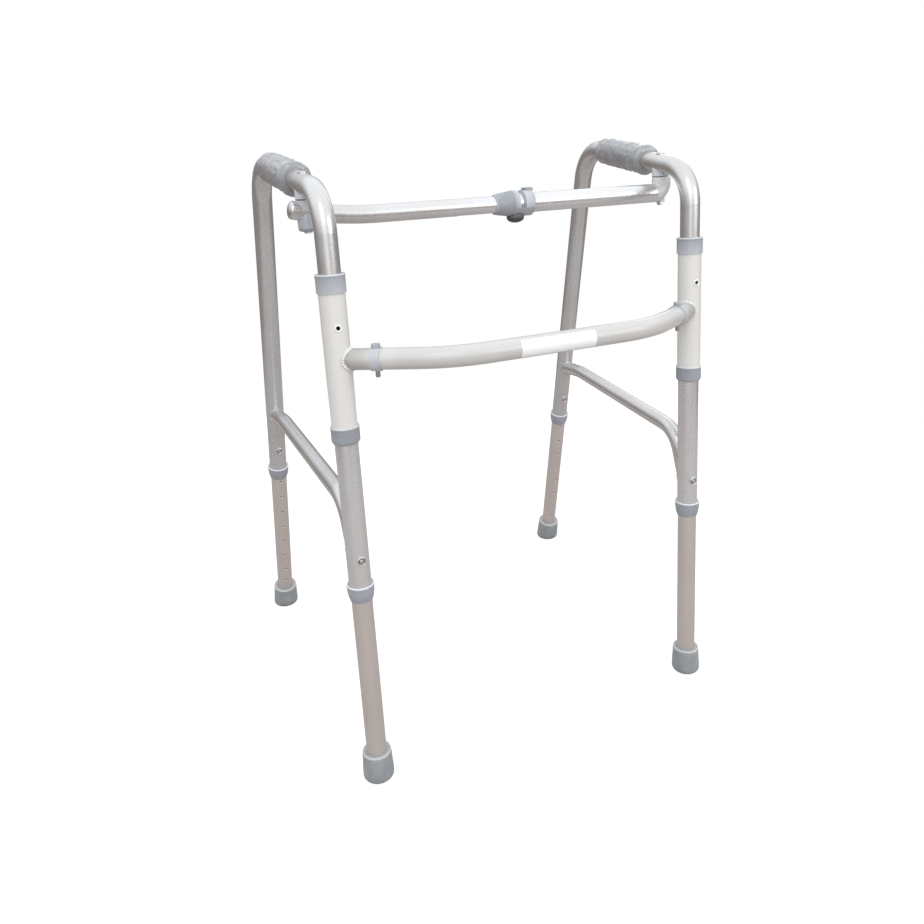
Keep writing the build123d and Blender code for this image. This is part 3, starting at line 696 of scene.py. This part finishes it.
def brace_meeting(side, end):
    """The line where a brace meets one of its legs."""
    frame_place = side_frame_matrix(side)
    post = leg_matrix(side, end)
    corner, foot = BRACE_CORNER[end], BRACE_END[end]
    start = frame_place @ Vector((0, *corner))
    run = Vector((0, foot[0] - corner[0], foot[1] - corner[1]))
    toward = (frame_place.to_3x3() @ run).normalized()
    return meeting_loop(start, toward, BRACE_R, post.translation, post.to_3x3() @ UP, TUBE_R)


def add_brace_welds():
    """Bare beads where each brace meets its two legs."""
    for side in SIDES:
        for end in BRACE_CORNER:
            loop = brace_meeting(side, end)
            add_beads(
                f"brace_weld_{end}_{side}", [loop], BRACE_WELD_R,
                f"{side}_side", BARE_WELD, ripples=30,
            )


def add_hole_rim_highlights():
    """Bright steel rings as painted highlights on the edges of the height holes, and a near-white ring as a
    painted highlight on the edge of each sleeve's hole.
    """
    for side, sign in SIDES.items():
        for end, facing in HOLE_FACING.items():
            place = leg_matrix(side, end)
            heights = [BUTTON_UP[end] - n * HOLE_PITCH for n in range(1, HOLES_BELOW + 1)]
            heights.append(FOOT_RIM_UP[end] + DRAIN_HOLE_UP)
            loops = [
                circle_on_tube(place, LEG_R - HOLE_RIM_SUNK, HOLE_R - HOLE_RIM_IN, height, facing)
                for height in heights
            ]
            # bright rings round the height holes: painted highlights
            add_beads(
                f"hole_rim_highlights_{end}_{side}", loops, HOLE_RIM_R,
                f"leg_{end}_{side}", HIGHLIGHT_STEEL,
            )
        upright = Matrix.Translation((sign * LEG_X, FRONT_Y, 0))
        edge = circle_on_tube(upright, SLEEVE_R, SLEEVE_RIM_R, SLEEVE_HOLE_Z, -1)
        # near-white ring round the sleeve's hole: a painted highlight
        add_beads(f"sleeve_hole_highlight_{side}", [edge], HOLE_RIM_R, "front_frame", PAINT_HIGHLIGHT)


def add_button_surrounds():
    """On each pressed ring round a snap button: a dark ring as painted shade in its inner gap, and a bright
    steel ring as a painted highlight on its outer edge.
    """
    dark = MATERIALS["bolt_dark"]
    facing = Matrix.Translation((0, -RING_FRONT, 0)) @ Matrix.Rotation(math.pi / 2, 4, "X")
    for side in SIDES:
        body = f"{side}_side"
        for end, height in BUTTON_UP.items():
            place = leg_matrix(side, end) @ Matrix.Translation((0, 0, height)) @ facing
            gap = circle_at(place, RING_INNER_R, 0.0)
            edge = circle_at(place, RING_OUTER_R, 0.0)
            # a dark ring as painted shade in the gap, a bright ring as a painted highlight on the edge
            add_beads(f"button_gap_shade_{end}_{side}", [gap], GAP_SHADE_R, body, dark)
            add_beads(f"button_edge_highlight_{end}_{side}", [edge], RING_HIGHLIGHT_R, body, HIGHLIGHT_STEEL)


def add_pivot_gap_shades():
    """A dark ring round each washer's edge, painted shade in the gap between each boss and the bar's end.
    """
    dark = MATERIALS["bolt_dark"]
    for side in SIDES:
        low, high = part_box(f"pivot_washer_{side}")
        place = Matrix.Translation([(a + b) / 2 for a, b in zip(low, high)])
        gap_shade = circle_at(place, PIVOT_SHADE_RING_R, 0.0)
        # dark ring: painted shade in the gap at the washer's edge
        add_beads(f"pivot_gap_shade_{side}", [gap_shade], PIVOT_SHADE_R, f"{side}_side", dark)


def add_lips():
    """Rolled lips on the rims of the feet, the leg collars and the sleeve bushes, in lighter materials as
    painted highlights along the rims.
    """
    for side, sign in SIDES.items():
        for end, collar_top in COLLAR_TOP.items():
            place = leg_matrix(side, end)
            foot_lip = circle_at(place, FOOT_RIM_R[end] - FOOT_LIP_IN, FOOT_RIM_UP[end] - FOOT_LIP_DOWN)
            add_beads(
                f"foot_lip_{end}_{side}", [foot_lip], FOOT_LIP_R,
                f"leg_{end}_{side}", RUBBER_HIGHLIGHT,
            )
            collar_lip = circle_at(place, COLLAR_RING_R, collar_top - COLLAR_LIP_DOWN)
            add_beads(
                f"collar_lip_{end}_{side}", [collar_lip], COLLAR_LIP_R,
                f"{side}_side", PLASTIC_HIGHLIGHT,
            )
        upright = Matrix.Translation((sign * LEG_X, FRONT_Y, 0))
        rims = [circle_at(upright, radius, height) for radius, height in BUSH_RINGS]
        add_beads(f"bush_lips_{side}", rims, BUSH_LIP_R, "front_frame", PLASTIC_HIGHLIGHT)


# ---------------------------------------------------------------- stage, lights and camera
CAMERA_PLACE = Vector((-0.4406, -0.8613 + FRONT_Y, 0.7627))
CAMERA_YAW = math.radians(21.813)
CAMERA_PITCH = math.radians(13.523)
CAMERA_ROLL = math.radians(-3.467)
CAMERA_LENS = 29.92
CAMERA_SHIFT = -0.1043
FLOOR_HALF = 1.6
FLOOR_GAP = 0.0004                    # between the floor and the soles
FLOOR_GLOW = 0.72                     # what is added to the floor where it is seen directly
SKY_DIRECTION = (-0.06, -0.22, 0.97)  # towards the brightest part of the studio
SKY_LOW, SKY_HIGH = (0.170, 0.143, 0.127), (0.95, 0.98, 1.0)
SKY_SPREAD = (-0.06, 0.50)            # how far up the brightening starts and ends
SKY_STRENGTH = 1.45
MIDDLE = (0, 0, 0.45)
# name, place, target, size, power, colour
LIGHTS = (
    ("key", (-1.0, -2.2, 2.6), MIDDLE, (1.2, 1.2), 11, (1.0, 0.99, 0.98)),
    ("window", (-1.0, -2.3, 1.05), (0, 0, 1.05), (1.5, 1.9), 6.5, (0.88, 0.94, 1.0)),
    ("fill", (1.5, -2.2, 1.25), (0, 0, 0.7), (1.6, 1.2), 14, (1.0, 0.985, 0.97)),
    ("rim", (2.2, 1.8, 1.8), MIDDLE, (1.2, 1.2), 5, (1.0, 1.0, 1.0)),
)


def add_camera():
    data = bpy.data.cameras.new("camera")
    data.lens = CAMERA_LENS
    data.sensor_width = 36.0
    data.shift_y = CAMERA_SHIFT
    data.dof.use_dof = False
    data.clip_start = 0.05
    data.clip_end = 60.0
    camera = bpy.data.objects.new("camera", data)
    forward = Vector((
        math.sin(CAMERA_YAW) * math.cos(CAMERA_PITCH),
        math.cos(CAMERA_YAW) * math.cos(CAMERA_PITCH),
        -math.sin(CAMERA_PITCH),
    ))
    level = Vector((math.cos(CAMERA_YAW), -math.sin(CAMERA_YAW), 0))
    upward = level.cross(forward)
    right = level * math.cos(CAMERA_ROLL) + upward * math.sin(CAMERA_ROLL)
    up = upward * math.cos(CAMERA_ROLL) - level * math.sin(CAMERA_ROLL)
    axes = Matrix((right, up, -forward)).transposed().to_4x4()
    camera.matrix_world = Matrix.Translation(CAMERA_PLACE) @ axes
    bpy.context.scene.collection.objects.link(camera)
    bpy.context.scene.camera = camera


def add_light(name, place, target, size, power, colour):
    data = bpy.data.lights.new(name, "AREA")
    data.shape = "RECTANGLE"
    data.size, data.size_y = size
    data.energy = power
    data.color = colour
    light = bpy.data.objects.new(name, data)
    light.location = place
    light.rotation_euler = (Vector(target) - Vector(place)).to_track_quat("-Z", "Y").to_euler()
    bpy.context.scene.collection.objects.link(light)


def floor_material():
    """Pale floor, brighter to the camera than it is as a reflector."""
    t = Tree("pale_floor")
    clouds = t.noise(3.0, 2.0)
    t.colour(t.mix(clouds, (0.34, 0.31, 0.295), (0.37, 0.34, 0.325)))
    t.set(Roughness=0.9, Specular_IOR_Level=0.1)
    t.set(Emission_Color=(1.0, 0.97, 0.95), Emission_Strength=0.06)
    white = t.tree.nodes.new("ShaderNodeEmission")
    white.inputs["Strength"].default_value = FLOOR_GLOW
    seen = t.tree.nodes.new("ShaderNodeAddShader")
    t.link(t.shader.outputs["BSDF"], seen.inputs[0])
    t.link(white.outputs["Emission"], seen.inputs[1])
    path = t.tree.nodes.new("ShaderNodeLightPath")
    either = t.tree.nodes.new("ShaderNodeMixShader")
    t.link(path.outputs["Is Camera Ray"], either.inputs["Fac"])
    t.link(t.shader.outputs["BSDF"], either.inputs[1])
    t.link(seen.outputs["Shader"], either.inputs[2])
    t.link(either.outputs["Shader"], t.tree.nodes["Material Output"].inputs["Surface"])
    return t.material


def add_floor():
    """A wide pale floor just under the soles."""
    mesh = bpy.data.meshes.new("floor")
    bm = bmesh.new()
    bmesh.ops.create_grid(bm, x_segments=8, y_segments=8, size=FLOOR_HALF)
    bm.to_mesh(mesh)
    bm.free()
    mesh.materials.append(floor_material())
    floor = bpy.data.objects.new("floor", mesh)
    floor.location = (0, 0, cad_box[0][2] - FLOOR_GAP)
    bpy.context.scene.collection.objects.link(floor)


def add_world():
    """A pale studio, brightest overhead and in front, and plain white where it is seen directly."""
    world = bpy.data.worlds.new("studio")
    world.use_nodes = True
    tree = world.node_tree
    tree.nodes.clear()
    new, link = tree.nodes.new, tree.links.new
    place = new("ShaderNodeTexCoord")
    toward = new("ShaderNodeVectorMath")
    toward.operation = "DOT_PRODUCT"
    toward.inputs[1].default_value = Vector(SKY_DIRECTION).normalized()
    link(place.outputs["Generated"], toward.inputs[0])
    spread = new("ShaderNodeMapRange")
    spread.inputs["From Min"].default_value, spread.inputs["From Max"].default_value = SKY_SPREAD
    link(toward.outputs["Value"], spread.inputs["Value"])
    ramp = new("ShaderNodeValToRGB")
    for element, position, colour in zip(ramp.color_ramp.elements, (0.0, 1.0), (SKY_LOW, SKY_HIGH)):
        element.position = position
        element.color = (*colour, 1)
    link(spread.outputs["Result"], ramp.inputs["Fac"])
    room = new("ShaderNodeBackground")
    room.inputs["Strength"].default_value = SKY_STRENGTH
    link(ramp.outputs["Color"], room.inputs["Color"])
    white = new("ShaderNodeBackground")
    path = new("ShaderNodeLightPath")
    mix = new("ShaderNodeMixShader")
    white.inputs["Color"].default_value = (1, 1, 1, 1)
    link(path.outputs["Is Camera Ray"], mix.inputs["Fac"])
    link(room.outputs["Background"], mix.inputs[1])
    link(white.outputs["Background"], mix.inputs[2])
    output = new("ShaderNodeOutputWorld")
    link(mix.outputs["Shader"], output.inputs["Surface"])
    bpy.context.scene.world = world


def add_lights():
    for light in LIGHTS:
        add_light(*light)


dress_cad_nodes()
add_grips()
add_bowed_bar()
add_sleeve_welds()
add_brace_welds()
add_hole_rim_highlights()
add_button_surrounds()
add_pivot_gap_shades()
add_lips()
add_floor()
add_world()
add_lights()
add_camera()
bpy.context.scene.view_settings.view_transform = "Standard"
